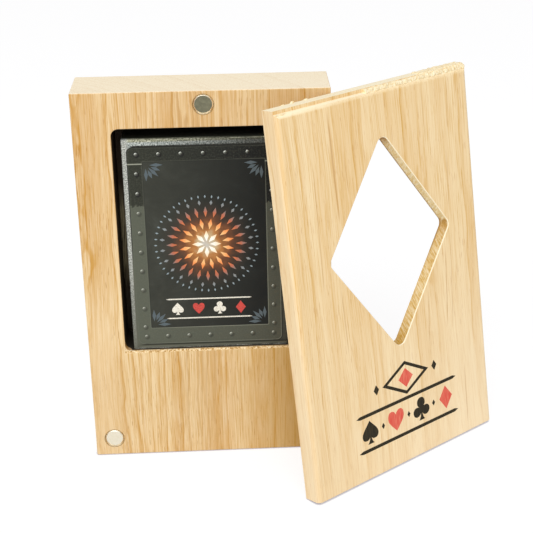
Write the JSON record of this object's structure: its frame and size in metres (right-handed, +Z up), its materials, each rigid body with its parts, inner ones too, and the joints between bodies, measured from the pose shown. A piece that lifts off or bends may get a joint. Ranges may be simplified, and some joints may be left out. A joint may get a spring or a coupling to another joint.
{
  "type": "playing card case",
  "caption": "Upright wooden block with a routed pocket for a deck in its carton, and a loose magnetic panel lid with a diamond window, leaning beside it.",
  "frame": {"origin": "middle of the case's foot, on the surface it stands on", "axes": "+Z up, +X along the case's width to its right, the open front faces -Y"},
  "size_m": [0.1754, 0.0872, 0.163],
  "materials": {
    "case_wood": "satin straight-grained pale wood",
    "lid_wood": "satin straight-grained pale wood",
    "magnet_plating": "bright nickel plate",
    "carton_board": "printed and coated board",
    "card_stock": "coated card stock"
  },
  "bodies": {
    "case": {"case_block": "case_wood", "case_magnet_top": "magnet_plating", "case_magnet_left": "magnet_plating", "case_magnet_right": "magnet_plating"},
    "lid": {"lid_panel": "lid_wood", "lid_magnet_top": "magnet_plating", "lid_magnet_left": "magnet_plating", "lid_magnet_right": "magnet_plating"},
    "deck": {"tuck_sleeve": "carton_board", "tuck_top_flap": "carton_board", "tuck_dust_flap_left": "carton_board", "tuck_dust_flap_right": "carton_board", "tuck_bottom_outer": "carton_board", "tuck_bottom_inner": "carton_board", "tuck_bottom_dust_left": "carton_board", "tuck_bottom_dust_right": "carton_board", "cards_spades": "card_stock", "cards_hearts": "card_stock", "cards_clubs": "card_stock", "cards_diamonds": "card_stock", "cards_jokers": "card_stock"}
  },
  "joints": [
    {"name": "lid_lift", "type": "slide", "parent": "case", "child": "lid", "axis": [0, 0, 1], "range_m": [0, 0.168]},
    {"name": "deck_slide", "type": "slide", "parent": "case", "child": "deck", "axis": [0, -1, 0], "range_m": [0, 0.019]}
  ]
}
